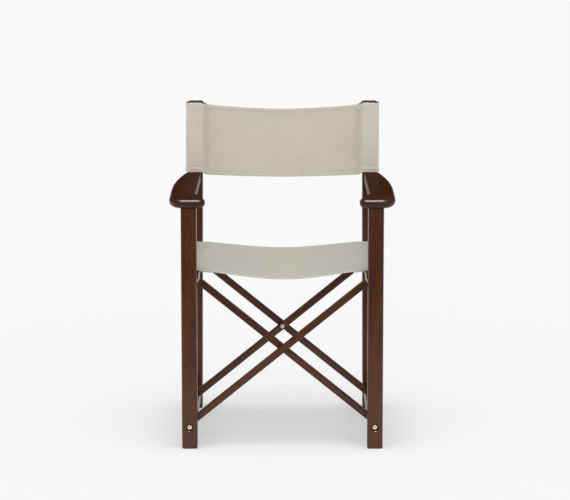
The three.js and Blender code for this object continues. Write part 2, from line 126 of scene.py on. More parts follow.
# Unevenness: its height, its wave lengths across and along the sheet, and a seed.
SEAT_WAVES = {"rail": (0.0006, (0.11, 0.034), 3.7), "middle": (0.0007, (0.13, 0.09), 9.1)}
SEAT_OVERHANG = 0.002    # the seat is longer than its CAD sleeves by this much at each end
POST_CLEARANCE = 0.0036  # between a post and the canvas round it
SLEEVE_CORNER = 0.0095   # radius of the canvas at a post's corners
BACK_SEAM_X = 0.2060     # where the back's loops are sewn to it
BACK_ALLOWANCE = 0.012
BACK_EDGES = {"sleeve": (0.6742, 0.8676), "seam": (0.6640, 0.8606), "middle": (0.6575, 0.8483)}
BACK_EDGE_POWER = 1.7    # how the back's edges run from the middle to the seams
BACK_BOW = 0.006         # how far the middle of the back hangs rearwards
BACK_CURL = {"height": 0.0012, "reach": 0.02}   # how its hems curl to the front
BACK_WAVES = {"seam": (0.0010, (0.10, 0.030), 5.3), "middle": (0.0012, (0.15, 0.11), 1.7)}
SLEEVE_PUCKER = (0.0007, (0.025, 0.020))
SLEEVE_BULGE = 0.0012    # of the sleeves between a post's corners
SLEEVE_EASE = 0.020      # how far from its seam a sleeve's edges come level with its own
BEHIND_SEAM = 0.00264    # from the back's middle surface to the sleeve's allowance behind it


# -------------------- places read from the frame
def middle(name):
    low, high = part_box(name)
    return (low + high) / 2


def half_height(name):
    low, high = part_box(name)
    return (high.z - low.z) / 2


leg_low, leg_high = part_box("right_front_leg")
post_low, post_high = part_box("right_rear_post")
LEG = leg_high.x - leg_low.x
FRONT = leg_low.y        # front face of the front legs
POST_FACE = post_low.y   # front face of the rear posts
POST_LEAN = (post_high.x - post_low.x - LEG) / post_high.z
POST_FOOT_X = post_high.x - LEG / 2
POST_MIDDLE_Y = POST_FACE + LEG / 2
arm_low, arm_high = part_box("right_armrest")


def post_x(z):
    """Distance from the middle of the chair to the middle of a rear post, at height z."""
    return POST_FOOT_X - POST_LEAN * z


# -------------------- node materials
def node(tree, kind, inputs=None, **settings):
    """A shader node. Each input is a value, or the output socket that it takes."""
    made = tree.nodes.new("ShaderNode" + kind)
    for key, value in settings.items():
        setattr(made, key, value)
    for key, value in (inputs or {}).items():
        if isinstance(value, bpy.types.NodeSocket):
            tree.links.new(value, made.inputs[key])
        else:
            made.inputs[key].default_value = value
    return made


def ramp(tree, factor, stops):
    """A colour ramp through (position, colour) stops."""
    made = node(tree, "ValToRGB", {"Fac": factor})
    elements = made.color_ramp.elements
    while len(elements) < len(stops):
        elements.new(0.5)
    for element, (position, colour) in zip(elements, stops):
        element.position = position
        element.color = (*colour, 1)
    return made.outputs["Color"]


def grey(value):
    return (value, value, value)


def grey_ramp(tree, factor, *stops):
    """A ramp through (position, brightness) stops."""
    return ramp(tree, factor, [(position, grey(value)) for position, value in stops])


def calculate(tree, operation, first, second=0.0, third=0.0):
    return node(tree, "Math", {0: first, 1: second, 2: third}, operation=operation).outputs[0]


def coordinate(tree, vector, k):
    return node(tree, "SeparateXYZ", {"Vector": vector}).outputs[k]


def graded(tree, value, start, end, first, last):
    """`first` where the value is `start`, `last` where it is `end`, and even between them."""
    return node(tree, "MapRange", {"Value": value, "From Min": start, "From Max": end,
                                   "To Min": first, "To Max": last}).outputs[0]


def opaque(colour):
    """A colour's socket as it is, or its red, green and blue with full alpha."""
    return colour if isinstance(colour, bpy.types.NodeSocket) else (*colour, 1)


def mix_colour(tree, factor, first, second, blend="MIX"):
    inputs = {0: factor, 6: opaque(first), 7: opaque(second)}
    return node(tree, "Mix", inputs, data_type="RGBA", blend_type=blend).outputs[2]


def tinted(tree, colour, tint):
    return mix_colour(tree, 1.0, colour, tint, "MULTIPLY")


def mapped(tree, place, **inputs):
    """Texture coordinates after a Mapping node with these inputs."""
    return node(tree, "Mapping", {"Vector": place, **inputs}).outputs[0]


def noise_value(tree, place, scale, detail, **others):
    inputs = {"Vector": place, "Scale": scale, "Detail": detail, **others}
    return node(tree, "TexNoise", inputs).outputs["Fac"]


def object_place(tree):
    return node(tree, "TexCoord").outputs["Object"]


def new_material(name):
    """An empty material and its node tree."""
    material = bpy.data.materials.new(name)
    material.use_nodes = True
    material.node_tree.nodes.clear()
    return material, material.node_tree


def surface(material, inputs):
    """Ends a material with a Principled shader."""
    shader = node(material.node_tree, "BsdfPrincipled", inputs)
    node(material.node_tree, "OutputMaterial", {"Surface": shader.outputs[0]})
    return material


def bump(tree, height, strength, distance):
    return node(tree, "Bump", {"Height": height, "Strength": strength, "Distance": distance}).outputs[0]


WALNUT = ((0.0, (0.020, 0.0050, 0.0015)), (0.42, (0.059, 0.0160, 0.0042)),
          (0.72, (0.104, 0.0310, 0.0085)), (1.0, (0.155, 0.052, 0.016)))
WALNUT_PORE = (0.010, 0.0042, 0.0026)
GRAIN_SQUEEZE = 0.055    # scale of the fibres and pores along the grain, against 1 across it
FIGURE_SQUEEZE = 0.16    # and of the broad figure
SEED_STEP = (0.37, 0.61, 0.23)      # how far apart two pieces' places in the texture are
# The lacquer: how much of it there is, how much is left where a top is worn by hands, and its
# roughness where it is glossiest and dullest. The stain: how light it is.
FRAME_FINISH = {"lacquer": 0.8, "gloss": (0.20, 0.30), "stain": 0.93, "worn": 0.15}
ARM_FINISH = {"lacquer": 0.65, "gloss": (0.34, 0.40), "stain": 0.62, "worn": 0.10}


def walnut(name, turn, seed, finish=FRAME_FINISH):
    """Stained walnut under gloss lacquer. `turn` brings the piece's length to the texture's Z."""
    material, tree = new_material(name + "_walnut")
    offset = [seed * step for step in SEED_STEP]
    grain = mapped(tree, object_place(tree), Rotation=turn, Location=offset)
    along = mapped(tree, grain, Scale=(1, 1, GRAIN_SQUEEZE))
    slow = mapped(tree, grain, Scale=(1, 1, FIGURE_SQUEEZE))
    figure = noise_value(tree, slow, 24, 3, Distortion=0.6)
    fibre = noise_value(tree, along, 260, 6, Roughness=0.62, Distortion=0.2)
    pores = noise_value(tree, along, 900, 2)
    patch = noise_value(tree, grain, 5, 2)
    tone = calculate(tree, "MULTIPLY", figure, 0.50)
    tone = calculate(tree, "MULTIPLY_ADD", fibre, 0.30, tone)
    tone = calculate(tree, "MULTIPLY_ADD", patch, 0.26, tone)
    in_pore = grey_ramp(tree, pores, (0.30, 1.0), (0.40, 0.0))
    colour = mix_colour(tree, in_pore, ramp(tree, tone, WALNUT), WALNUT_PORE)
    glossiest, dullest = finish["gloss"]
    upward = coordinate(tree, node(tree, "NewGeometry").outputs["Normal"], 2)
    return surface(material, {
        "Base Color": tinted(tree, colour, grey(finish["stain"])),
        "Roughness": 0.6,
        "Specular IOR Level": 0.0,
        "Coat Weight": graded(tree, upward, 0.72, 0.99, finish["lacquer"], finish["worn"]),
        "Coat Roughness": grey_ramp(tree, fibre, (0.3, glossiest), (0.7, dullest)),
        "Normal": bump(tree, pores, 0.06, 0.0001),
    })


THREAD_REPEAT = 0.0011   # two threads of the canvas


def canvas(name, warp, weft):
    """Heavy plain-woven canvas. It reads the cloth's own UV, in metres along warp and weft."""
    material, tree = new_material(name)
    flat = node(tree, "UVMap", uv_map="cloth").outputs[0]
    turns = 2 * math.pi / THREAD_REPEAT
    phases = [calculate(tree, "MULTIPLY", coordinate(tree, flat, k), turns) for k in (0, 1)]
    weave = calculate(tree, "MULTIPLY", *(calculate(tree, "SINE", phase) for phase in phases))
    over = grey_ramp(tree, calculate(tree, "MULTIPLY_ADD", weave, 0.5, 0.5), (0.25, 0.0), (0.75, 1.0))
    slubs = noise_value(tree, mapped(tree, flat, Scale=(30, 900, 1)), 1, 2)
    cross_slubs = noise_value(tree, mapped(tree, flat, Scale=(900, 30, 1)), 1, 2)
    clouds = noise_value(tree, mapped(tree, flat, Scale=(9, 9, 1)), 1, 3)
    thread_tone = calculate(tree, "MULTIPLY", slubs, cross_slubs)
    colour = tinted(tree, mix_colour(tree, over, warp, weft),
                    grey_ramp(tree, thread_tone, (0.12, 0.90), (0.40, 1.04)))
    height = calculate(tree, "MULTIPLY_ADD", slubs, 0.6, over)
    return surface(material, {
        "Base Color": tinted(tree, colour, grey_ramp(tree, clouds, (0.3, 0.965), (0.7, 1.0))),
        "Roughness": 0.86,
        "Specular IOR Level": 0.25,
        "Sheen Weight": 0.15,
        "Sheen Roughness": 0.5,
        "Normal": bump(tree, height, 0.35, 0.00016),
    })


def thread(name, colour):
    """Twisted sewing thread."""
    material, tree = new_material(name)
    twist = noise_value(tree, object_place(tree), 2600, 2)
    return surface(material, {
        "Base Color": tinted(tree, colour, grey_ramp(tree, twist, (0.3, 0.82), (0.7, 1.0))),
        "Roughness": 0.7,
        "Sheen Weight": 0.2,
        "Normal": bump(tree, twist, 0.3, 0.0001),
    })


def metal(name, colour, mark_scale):
    """Turned metal with fine marks and slightly uneven polish."""
    material, tree = new_material(name)
    place = object_place(tree)
    marks = noise_value(tree, mapped(tree, place, Scale=(1, 0.08, 1)), mark_scale, 4)
    stains = noise_value(tree, place, 160, 3)
    dull = [0.78 * part for part in colour]
    return surface(material, {
        "Base Color": mix_colour(tree, stains, dull, colour),
        "Metallic": 0.45,
        "Roughness": grey_ramp(tree, marks, (0.3, 0.31), (0.7, 0.48)),
        "Normal": bump(tree, marks, 0.12, 0.0001),
    })


def nylon(name):
    material, tree = new_material(name)
    mottle = noise_value(tree, object_place(tree), 500, 3)
    return surface(material, {
        "Base Color": ramp(tree, mottle, ((0.3, (0.60, 0.57, 0.50)), (0.7, (0.74, 0.71, 0.64)))),
        "Roughness": 0.45,
        "Subsurface Weight": 0.1,
        "Subsurface Scale": 0.002,
        "Normal": bump(tree, mottle, 0.08, 0.0001),
    })


ALONG_Z = (0, 0, 0)
ALONG_Y = (math.pi / 2, 0, 0)
back_canvas = canvas("back_canvas", warp=(0.545, 0.513, 0.430), weft=(0.606, 0.573, 0.484))
seat_canvas = canvas("seat_canvas", warp=(0.464, 0.456, 0.383), weft=(0.519, 0.509, 0.430))
back_thread = thread("back_thread", (0.60, 0.565, 0.47))
seat_thread = thread("seat_thread", (0.56, 0.55, 0.48))
brass = metal("brass", (1.0, 0.87, 0.65), 3000)
steel = metal("zinc_plate", (0.56, 0.57, 0.58), 2500)
washer_nylon = nylon("nylon")


# -------------------- mesh building
def add_object(name, data):
    made = bpy.data.objects.new(name, data)
    bpy.context.scene.collection.objects.link(made)
    return made


def new_piece(name, points, faces):
    """A closed mesh as an object, its faces turned outwards."""
    mesh = bpy.data.meshes.new(name)
    mesh.from_pydata([tuple(p) for p in points], [], faces)
    work = bmesh.new()
    work.from_mesh(mesh)
    bmesh.ops.recalc_face_normals(work, faces=work.faces)
    work.to_mesh(mesh)
    work.free()
    return add_object(name, mesh)


def tube_faces(first, rings, count):
    """Faces of a closed tube of rings of `count` points, from the point with the number `first`."""
    last = first + (rings - 1) * count
    faces = []
    for start in range(first, last, count):
        for i in range(count):
            a, b = start + i, start + (i + 1) % count
            faces.append((a, b, b + count, a + count))
    return faces + [tuple(reversed(range(first, first + count))), tuple(range(last, last + count))]


def loft(name, rings):
    """A closed solid through rings of points, all with the same count, flat at both ends."""
    points = [p for ring in rings for p in ring]
    return new_piece(name, points, tube_faces(0, len(rings), len(rings[0])))


def quarter_turn(steps=ROUND_STEPS):
    """Angles from 0 to a quarter turn."""
    return [math.pi / 2 * k / steps for k in range(steps + 1)]


def rounded_rectangle(width, depth, radius):
    """Points round a rectangle with rounded corners, centred on the origin."""
    points = []
    for quarter, (sx, sy) in enumerate(((1, 1), (-1, 1), (-1, -1), (1, -1))):
        for turn in quarter_turn():
            angle = math.pi / 2 * quarter + turn
            points.append((sx * (width / 2 - radius) + radius * math.cos(angle),
                           sy * (depth / 2 - radius) + radius * math.sin(angle)))
    return points


def turned(name, profile, x, z, sides=48):
    """A turned solid about an axis along Y through (x, z). `profile` holds (radius, y) pairs."""
    angles = [2 * math.pi * i / sides for i in range(sides)]
    return loft(name, [[(x + radius * math.cos(a), y, z + radius * math.sin(a)) for a in angles]
                       for radius, y in profile])


def eased(start, end, ease_start, ease_end):
    """(position, inset) pairs along a length whose ends are rounded over."""
    def rounded(edge, way, ease):
        angles = quarter_turn(5) if ease else [0]
        return [(edge + way * ease * (1 - math.cos(a)), ease * (1 - math.sin(a))) for a in angles]

    return rounded(start, 1, ease_start) + rounded(end, -1, ease_end)[::-1]


def cut(piece, cutter):
    """Cuts one closed mesh out of another."""
    boolean = piece.modifiers.new("cut", "BOOLEAN")
    boolean.operation = "DIFFERENCE"
    boolean.solver = "EXACT"
    boolean.object = cutter
    bpy.context.view_layer.update()
    made = piece.evaluated_get(bpy.context.evaluated_depsgraph_get())
    piece.data = bpy.data.meshes.new_from_object(made)
    piece.modifiers.clear()
    bpy.data.objects.remove(cutter)


def dress(piece, material, smooth):
    """Shades a piece, with sharp edges above the angle `smooth`, and gives it its material."""
    mesh = piece.data
    mesh.shade_smooth()
    mesh.set_sharp_from_angle(angle=math.radians(smooth))
    mesh.materials.clear()
    mesh.materials.append(material)


def settle(piece, material, body, name, smooth=35):
    """Finishes a hard piece and puts it on its body in place of its CAD node."""
    dress(piece, material, smooth)
    weighted = piece.modifiers.new("flat_faces_stay_flat", "WEIGHTED_NORMAL")
    weighted.keep_sharp = True
    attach(piece, body)
    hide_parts(name)


def recess(face_y, inward, x, z, size):
    """The cutter for a bolt head's recess, its rim slightly eased."""
    radius, rim = size["recess"], 0.0005
    profile = [(radius + rim, face_y - inward * CUT_START), (radius + rim, face_y),
               (radius, face_y + inward * rim), (radius, face_y + inward * size["deep"])]
    return turned("cutter", profile, x, z)


# -------------------- bolts
def bolt(name, body, size, inward):
    """A brass bolt with a domed head and a hexagon socket, its head at the end away from `inward`."""
    low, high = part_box(name)
    centre = (low + high) / 2
    radius = (high.x - low.x) / 2
    head_y, tip_y = (low.y, high.y) if inward > 0 else (high.y, low.y)
    height, shank = size["head"], size["shank"]

    def from_top(distance):
        return head_y + inward * distance

    flat, dome = BOLT_HEAD["flat"] * radius, BOLT_HEAD["dome"] * height
    profile = [(flat + (radius - flat) * math.sin(a), from_top(dome * (1 - math.cos(a))))
               for a in quarter_turn()]
    profile += [(radius, from_top(BOLT_HEAD["side"] * height)), (radius - 0.0003, from_top(height)),
                (shank, from_top(height)), (shank, tip_y - inward * 0.001), (shank - 0.0008, tip_y)]
    piece = turned(name + "_turned", profile, centre.x, centre.z)
    socket = [(BOLT_HEAD["socket"] * radius, from_top(-0.001)),
              (BOLT_HEAD["socket"] * radius, from_top(BOLT_HEAD["socket_deep"] * height))]
    cut(piece, turned("cutter", socket, centre.x, centre.z, sides=6))
    settle(piece, brass, body, name, HARDWARE_SMOOTH)


for side in ("left", "right"):
    bolt(f"{side}_front_pivot_bolt", f"{side}_side", PIVOT_BOLT, 1)
    bolt(f"{side}_rear_pivot_bolt", f"{side}_side", PIVOT_BOLT, -1)
    bolt(f"{side}_arm_bolt", f"{side}_side", ARM_BOLT, -1)
bolt("rear_crossing_bolt", "falling_frame", CROSS_BOLT, 1)
bolt("front_crossing_bolt", "rising_frame", CROSS_BOLT, -1)


# -------------------- legs and posts
def square_post(name, body, seed, top_ease):
    """A square leg or post with rounded edges, leaning inwards as its CAD node does."""
    low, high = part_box(name)
    side = 1 if low.x > 0 else -1
    lean = (high.x - low.x - LEG) / high.z
    foot_x = max(abs(low.x), abs(high.x)) - LEG / 2
    y = (low.y + high.y) / 2
    rings = []
    for z, inset in eased(low.z, high.z, FOOT_ROUND, top_ease):
        outline = rounded_rectangle(LEG - 2 * inset, LEG - 2 * inset, LEG_ROUND - inset)
        rings.append([(side * (foot_x - lean * z) + px, y + py, z) for px, py in outline])
    piece = loft(name + "_wood", rings)
    side_name, end, _ = name.split("_")
    head = middle(f"{side_name}_{end}_pivot_bolt")
    at_front = end == "front"
    face, inward = (low.y, 1) if at_front else (high.y, -1)
    cut(piece, recess(face, inward, head.x, head.z, PIVOT_BOLT))
    if not at_front:
        arm_bolt = middle(f"{side_name}_arm_bolt")
        cut(piece, recess(face, inward, arm_bolt.x, arm_bolt.z, ARM_BOLT))
    settle(piece, walnut(name, ALONG_Z, seed), body, name)


square_post("left_front_leg", "left_side", 1, 0)
square_post("right_front_leg", "right_side", 2, 0)
square_post("left_rear_post", "left_side", 3, FOOT_ROUND)
square_post("right_rear_post", "right_side", 4, FOOT_ROUND)


# -------------------- armrests
def bezier(points, steps):
    """Points along a Bezier curve of any degree, without its last one."""
    made = []
    for k in range(steps):
        level = [Vector(p) for p in points]
        while len(level) > 1:
            level = [a.lerp(b, k / steps) for a, b in zip(level, level[1:])]
        made.append(level[0])
    return made


def arm_outline():
    """Plan of the right armrest as (|x|, depth behind the leg's front face), and its edge radius."""
    nose = arm_low.y - FRONT
    post = POST_FACE - FRONT
    past = post + 2 * ARM_ROUND
    widest, lobe = arm_high.x, arm_low.x
    past_x = ARM_REAR_X - (widest - ARM_REAR_X) * (past - post) / ((post - ARM_NARROWING) / 2)

    def at_lobe(outward_by, behind_nose):
        return lobe + outward_by, nose + behind_nose

    def at_corner(inward_by, behind_nose):
        return widest - inward_by, nose + behind_nose

    rear, notch = (ARM_INNER["rear"], past), (ARM_INNER["notch"], ARM_NOTCH)
    notch_curve = (notch[0] + 0.0005, ARM_NOTCH - 0.012)
    slant_start = (notch[0] - 0.005, ARM_NOTCH - 0.022)
    slant_end, lobe_side, lobe_front = at_lobe(0.007, 0.040), at_lobe(0, 0.023), at_lobe(0.024, 0)
    corner_front, corner_side = at_corner(0.036, 0), at_corner(0, 0.065)
    narrowing, at_post, past_post = (widest, ARM_NARROWING), (ARM_REAR_X, post), (past_x, past)
    thin, slant_first, slant_last, full = ARM_INNER_ROUND, *ARM_SLANT_ROUND, ARM_ROUND
    # Each part is a Bezier curve's points, its number of steps, and its first and last edge radius.
    parts = [
        ((rear, notch), 60, thin, thin),
        ((notch, notch_curve, slant_start), 8, thin, slant_first),
        ((slant_start, slant_end), 14, slant_first, slant_last),
        ((slant_end, at_lobe(0.003, 0.030), at_lobe(0, 0.029), lobe_side), 10, slant_last, full),
        ((lobe_side, at_lobe(0, 0.009), at_lobe(0.010, 0), lobe_front), 18, full, full),
        ((lobe_front, corner_front), 10, full, full),
        ((corner_front, at_corner(0.016, 0), at_corner(0, 0.020), corner_side), 22, full, full),
        ((corner_side, narrowing), 24, full, full),
        ((narrowing, (widest, (ARM_NARROWING + post) / 2), at_post), 40, full, full),
        ((at_post, past_post), 4, full, full),
        ((past_post, rear), 6, full, thin),
    ]
    outline = []
    for points, steps, first, last in parts:
        for k, point in enumerate(bezier(points, steps)):
            outline.append((point, first + (last - first) * k / steps))
    return outline


def armrest(name, body, seed):
    side = 1 if middle(name).x > 0 else -1
    outline = arm_outline()
    count = len(outline)
    inward = []
    for i in range(count):
        run = outline[(i + 1) % count][0] - outline[i - 1][0]
        inward.append(Vector((-run.y, run.x)).normalized())
    rings = []
    for top in (False, True):
        across, high = (1, 1) if top else (ARM_UNDER["across"], ARM_UNDER["high"])
        for angle in (quarter_turn() if top else reversed(quarter_turn())):
            ring = []
            for (point, radius), normal in zip(outline, inward):
                spot = point + normal * radius * across * (1 - math.cos(angle))
                drop = radius * high * (1 - math.sin(angle))
                z = arm_high.z - drop if top else arm_low.z + drop
                ring.append((side * spot.x, FRONT + spot.y, z))
            rings.append(ring)
    piece = loft(name + "_wood", rings)
    work = bmesh.new()
    work.from_mesh(piece.data)
    everything = work.verts[:] + work.edges[:] + work.faces[:]
    bmesh.ops.bisect_plane(work, geom=everything, plane_co=(0, arm_high.y, 0), plane_no=(0, 1, 0),
                           clear_outer=True)
    bmesh.ops.holes_fill(work, edges=[e for e in work.edges if e.is_boundary])
    bmesh.ops.recalc_face_normals(work, faces=work.faces)
    work.to_mesh(piece.data)
    work.free()
    settle(piece, walnut(name, ALONG_Y, seed, ARM_FINISH), body, name)


armrest("left_armrest", "left_side", 5)
armrest("right_armrest", "right_side", 6)


# -------------------- rails and bars
def rail(name, body, seed):
    """A round rail with eased ends. A lower one is bored at both ends for its inserts."""
    low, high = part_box(name)
    centre = (low + high) / 2
    radius = half_height(name)
    profile = [(radius - inset, y) for y, inset in eased(low.y, high.y, RAIL_EASE, RAIL_EASE)]
    piece = turned(name + "_wood", profile, centre.x, centre.z, sides=64)
    if "lower" in name:
        for y, inward in ((low.y, 1), (high.y, -1)):
            bore = [(INSERT_BORE["radius"], y - inward * CUT_START),
                    (INSERT_BORE["radius"], y + inward * INSERT_BORE["deep"])]
            cut(piece, turned("cutter", bore, centre.x, centre.z, sides=32))
    settle(piece, walnut(name, ALONG_Y, seed), body, name)


def bar(name, body, lower, upper, seed):
    """A bar from its lower rail, coped round it, to a square end against the seat rail's canvas."""
    low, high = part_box(name)
    start, end = middle(lower), middle(upper)
    y, depth = (low.y + high.y) / 2, high.y - low.y
    rail_radius = half_height(lower)
    axis = Vector((end.x - start.x, 0, end.z - start.z))
    length = axis.length - half_height(upper.replace("rail", "sleeve")) - LOOP_CLEARANCE
    axis.normalize()
    up = Vector((0, 1, 0)).cross(axis)
    up = up if up.z > 0 else -up
    origin = Vector((start.x, y, start.z))
    outline = rounded_rectangle(BAR_WIDTH, depth, BAR_ROUND)
    rings = []
    for along, inset in eased(rail_radius, length, 0, BAR_END_EASE):
        shrink = 1 - 2 * inset / BAR_WIDTH
        ring = []
        for across, back in outline:
            cope = math.sqrt(rail_radius ** 2 - across ** 2) if along == rail_radius else along
            ring.append(origin + axis * cope + up * across * shrink
                        + Vector((0, back * (1 - 2 * inset / depth), 0)))
        rings.append(ring)
    piece = loft(name + "_wood", rings)
    pair, way, _ = name.split("_")
    if (pair == "rear") == (way == "rising"):
        head = middle(f"{pair}_crossing_bolt")
        face, inward = (low.y, 1) if pair == "rear" else (high.y, -1)
        cut(piece, recess(face, inward, head.x, head.z, CROSS_BOLT))
    along_bar = (0, math.atan2(axis.z, axis.x) - math.pi / 2, 0)
    settle(piece, walnut(name, along_bar, seed), body, name)


rail("left_lower_rail", "rising_frame", 7)
rail("right_seat_rail", "rising_frame", 8)
rail("right_lower_rail", "falling_frame", 9)
rail("left_seat_rail", "falling_frame", 10)
for seed, pair in enumerate(("front", "rear")):
    bar(f"{pair}_rising_bar", "rising_frame", "left_lower_rail", "right_seat_rail", 11 + seed)
    bar(f"{pair}_falling_bar", "falling_frame", "right_lower_rail", "left_seat_rail", 13 + seed)


# -------------------- canvas
def even(start, end, pitch):
    steps = max(2, math.ceil((end - start) / pitch))
    return [start + (end - start) * k / steps for k in range(steps + 1)]


def smooth_step(value):
    """0 up to 0, 1 from 1 onwards, and a smooth run between them."""
    share = min(max(value, 0.0), 1.0)
    return share ** 2 * (3 - 2 * share)


def stations(length):
    """Distances across hemmed cloth: close together at its edges and hems, even between them."""
    edge = [0, 0.0003, 0.0008, 0.0016, 0.003, 0.006, HEM_SEAM - 0.0018, HEM_SEAM - 0.0008, HEM_SEAM,
            HEM_SEAM + 0.0008, HEM - 0.0004, HEM + 0.0006, HEM + 0.002]
    inner = even(edge[-1], length - edge[-1], SHEET_PITCH)[1:-1]
    return edge + inner + [length - e for e in reversed(edge)]


def half_thickness(inset):
    """Half the cloth's thickness near a folded edge, which is round."""
    reach = min(inset / CANVAS, 1)
    return CANVAS / 2 * max(math.sqrt(1 - (1 - reach) ** 2), 0.12)


def hem_relief(inset):
    """(front, back) relief at this distance from a hemmed edge."""
    dimple = SEAM_DIMPLE["deep"] * math.exp(-((inset - HEM_SEAM) / SEAM_DIMPLE["wide"]) ** 2)
    if inset >= HEM:
        return -dimple, 0.0
    puff = HEM_PUFF * math.sin(math.pi * inset / HEM_SEAM) ** 0.5 if inset < HEM_SEAM else 0.0
    return puff - dimple, HEM_LAYER * min(1, (HEM - inset) / LAYER_EDGE, 0.2 + inset / LAYER_EDGE)


def cloth(name, columns, rows, place, lap, unit=1, side=1, hem_sides=None):
    """A closed sheet of canvas, hemmed along its first and last rows.

    `place(u, v)` is its middle surface, `unit` is the length of 1 along u, and its UV is in metres.
    Its ends along u are as thick as a folded edge is at `lap` from the edge. `hem_sides(u, v)` says
    how much of a hem's second layer is at the front and at the back. By default it is at the back.
    """
    grid = [[place(u, v) for u in columns] for v in rows]
    front, back, coordinates = [], [], []
    for j, v in enumerate(rows):
        for i, u in enumerate(columns):
            along = grid[j][min(i + 1, len(columns) - 1)] - grid[j][max(i - 1, 0)]
            up = grid[min(j + 1, len(rows) - 1)][i] - grid[max(j - 1, 0)][i]
            normal = along.cross(up).normalized() * side
            from_hem = min(v, rows[-1] - v)
            from_end = min(u - columns[0], columns[-1] - u) * unit
            half = half_thickness(min(from_hem, from_end + lap))
            relief, layer = hem_relief(from_hem)
            at_front, at_back = hem_sides(u, v) if hem_sides else (0, 1)
            front.append(grid[j][i] + normal * (half + relief + layer * at_front))
            back.append(grid[j][i] - normal * (half + layer * at_back))
            coordinates.append((u * unit, v))
    wide, count = len(columns), len(front)
    faces = []
    for j in range(len(rows) - 1):
        for i in range(wide - 1):
            a, b = j * wide + i, (j + 1) * wide + i
            faces.append((a, a + 1, b + 1, b))
            faces.append((count + a, count + b, count + b + 1, count + a + 1))
    rim = [*range(wide), *range(2 * wide - 1, count, wide), *range(count - 2, count - wide - 1, -1),
           *range(count - 2 * wide, 0, -wide)]
    for a, b in zip(rim, rim[1:] + rim[:1]):
        faces.append((a, count + a, count + b, b))
    piece = new_piece(name, front + back, faces)
    flat = piece.data.uv_layers.new(name="cloth").data
    for loop in piece.data.loops:
        flat[loop.index].uv = coordinates[loop.vertex_index % count]
    return piece


def follow(points):
    """A path through points as a function of distance, and its length."""
    distances = [0.0]
    for a, b in zip(points, points[1:]):
        distances.append(distances[-1] + (b - a).length)

    def at(distance):
        distance = min(max(distance, 0.0), distances[-1])
        k = max(1, bisect.bisect_left(distances, distance))
        span = distances[k] - distances[k - 1]
        return points[k - 1].lerp(points[k], (distance - distances[k - 1]) / span)

    return at, distances[-1]


def arc(centre, radius, first, last, steps):
    """Points of a circle in a plane, from one angle to another, in degrees."""
    angles = [math.radians(first + (last - first) * k / steps) for k in range(steps + 1)]
    return [Vector((centre[0] + radius * math.cos(a), centre[1] + radius * math.sin(a))) for a in angles]


def ripple(u, v, wave):
    """Unevenness of a given height, with waves this long along u and v."""
    height, (long_u, long_v), seed = wave
    return height * noise.noise(Vector((u / long_u, v / long_v, seed)))


def stitches(name, lines, material, seed):
    """Rows of short stitches. Each line is a list of (point, outward normal)."""
    chance = random.Random(seed)
    points, faces = [], []
    around = 6
    # Along a stitch in half lengths, and off the cloth in thread radii.
    shape = [(-1.0, -1.4), (-0.72, 0.35), (0.0, 0.7), (0.72, 0.35), (1.0, -1.4)]
    for line in lines:
        at, length = follow([p for p, _ in line])
        count = int(length / STITCH_PITCH)
        for k in range(count):
            here = (k + 0.5) * length / count
            nearest = min(range(len(line)), key=lambda i: (line[i][0] - at(here)).length_squared)
            normal = line[nearest][1]
            half = 0.40 * STITCH_PITCH * chance.uniform(0.92, 1.05)
            run = (at(here + half) - at(here - half)).normalized()
            side = run.cross(normal).normalized() * chance.uniform(0.95, 1.05)
            base = len(points)
            for along, lift in shape:
                centre = at(here) + run * along * half + normal * lift * THREAD_RADIUS
                size = THREAD_RADIUS * (0.55 if abs(along) == 1.0 else 1.0)
                for m in range(around):
                    angle = 2 * math.pi * m / around
                    points.append(centre + (side * math.cos(angle) + normal * math.sin(angle)) * size)
            faces += tube_faces(base, len(shape), around)
    piece = new_piece(name, points, faces)
    piece.data.shade_smooth()
    piece.data.materials.append(material)
    return piece


def seam_line(place, spots, side):
    """(point, normal) pairs along (u, v) spots of a cloth's face."""
    step = 0.0008
    line = []
    for u, v in spots:
        along = place(u + step, v) - place(u - step, v)
        up = place(u, v + step) - place(u, v - step)
        normal = along.cross(up).normalized() * side
        line.append((place(u, v) + normal * CANVAS / 2, normal))
    return line


def hem_lines(place, height, first, last, side=1):
    """Lines for the stitches of both hems, from u = first to u = last."""
    return [seam_line(place, [(u, v) for u in even(first, last, HEM_PITCH)], side)
            for v in (HEM_SEAM, height - HEM_SEAM)]


# -------------------- seat
sleeve_low, sleeve_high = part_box("right_seat_sleeve")
seat_rail = middle("right_seat_rail")
LOOP_RADIUS = half_height("right_seat_rail") + LOOP_CLEARANCE + CANVAS / 2
SEAT_FRONT = sleeve_low.y - SEAT_OVERHANG
SEAT_DEPTH = sleeve_high.y - sleeve_low.y + 2 * SEAT_OVERHANG


def seat_section(sag):
    """Half of the seat's section: from the end of its allowance, round the rail and to the middle."""
    tilt = math.atan(2 * (1 - SEAT_FLARE) * sag / seat_rail.x)
    leave_x = seat_rail.x - LOOP_RADIUS * math.sin(tilt)
    leave_z = seat_rail.z + LOOP_RADIUS * math.cos(tilt)

    def top(x):
        level = (1 - math.cos(math.pi * x / leave_x)) / 2
        return leave_z - sag * (1 - SEAT_FLARE * level - (1 - SEAT_FLARE) * (x / leave_x) ** 2)

    inner = seat_rail.x - LOOP_RADIUS
    corner_x = inner - SEAT_TURN
    corner_z = top(corner_x) - SEAT_UNDER - SEAT_TURN
    end_x = corner_x - SEAT_ALLOWANCE
    half = [Vector((x, top(x) - SEAT_UNDER)) for x in even(end_x, corner_x, SECTION_PITCH)][:-1]
    half += arc((corner_x, corner_z), SEAT_TURN, 90, 0, 6)
    half += [Vector((inner, corner_z + (seat_rail.z - corner_z) * k / 3)) for k in (1, 2)]
    half += arc((seat_rail.x, seat_rail.z), LOOP_RADIUS, 180, 450 + math.degrees(tilt), 44)
    return half + [Vector((-x, top(x))) for x in even(-leave_x, 0, SECTION_PITCH)[1:]]


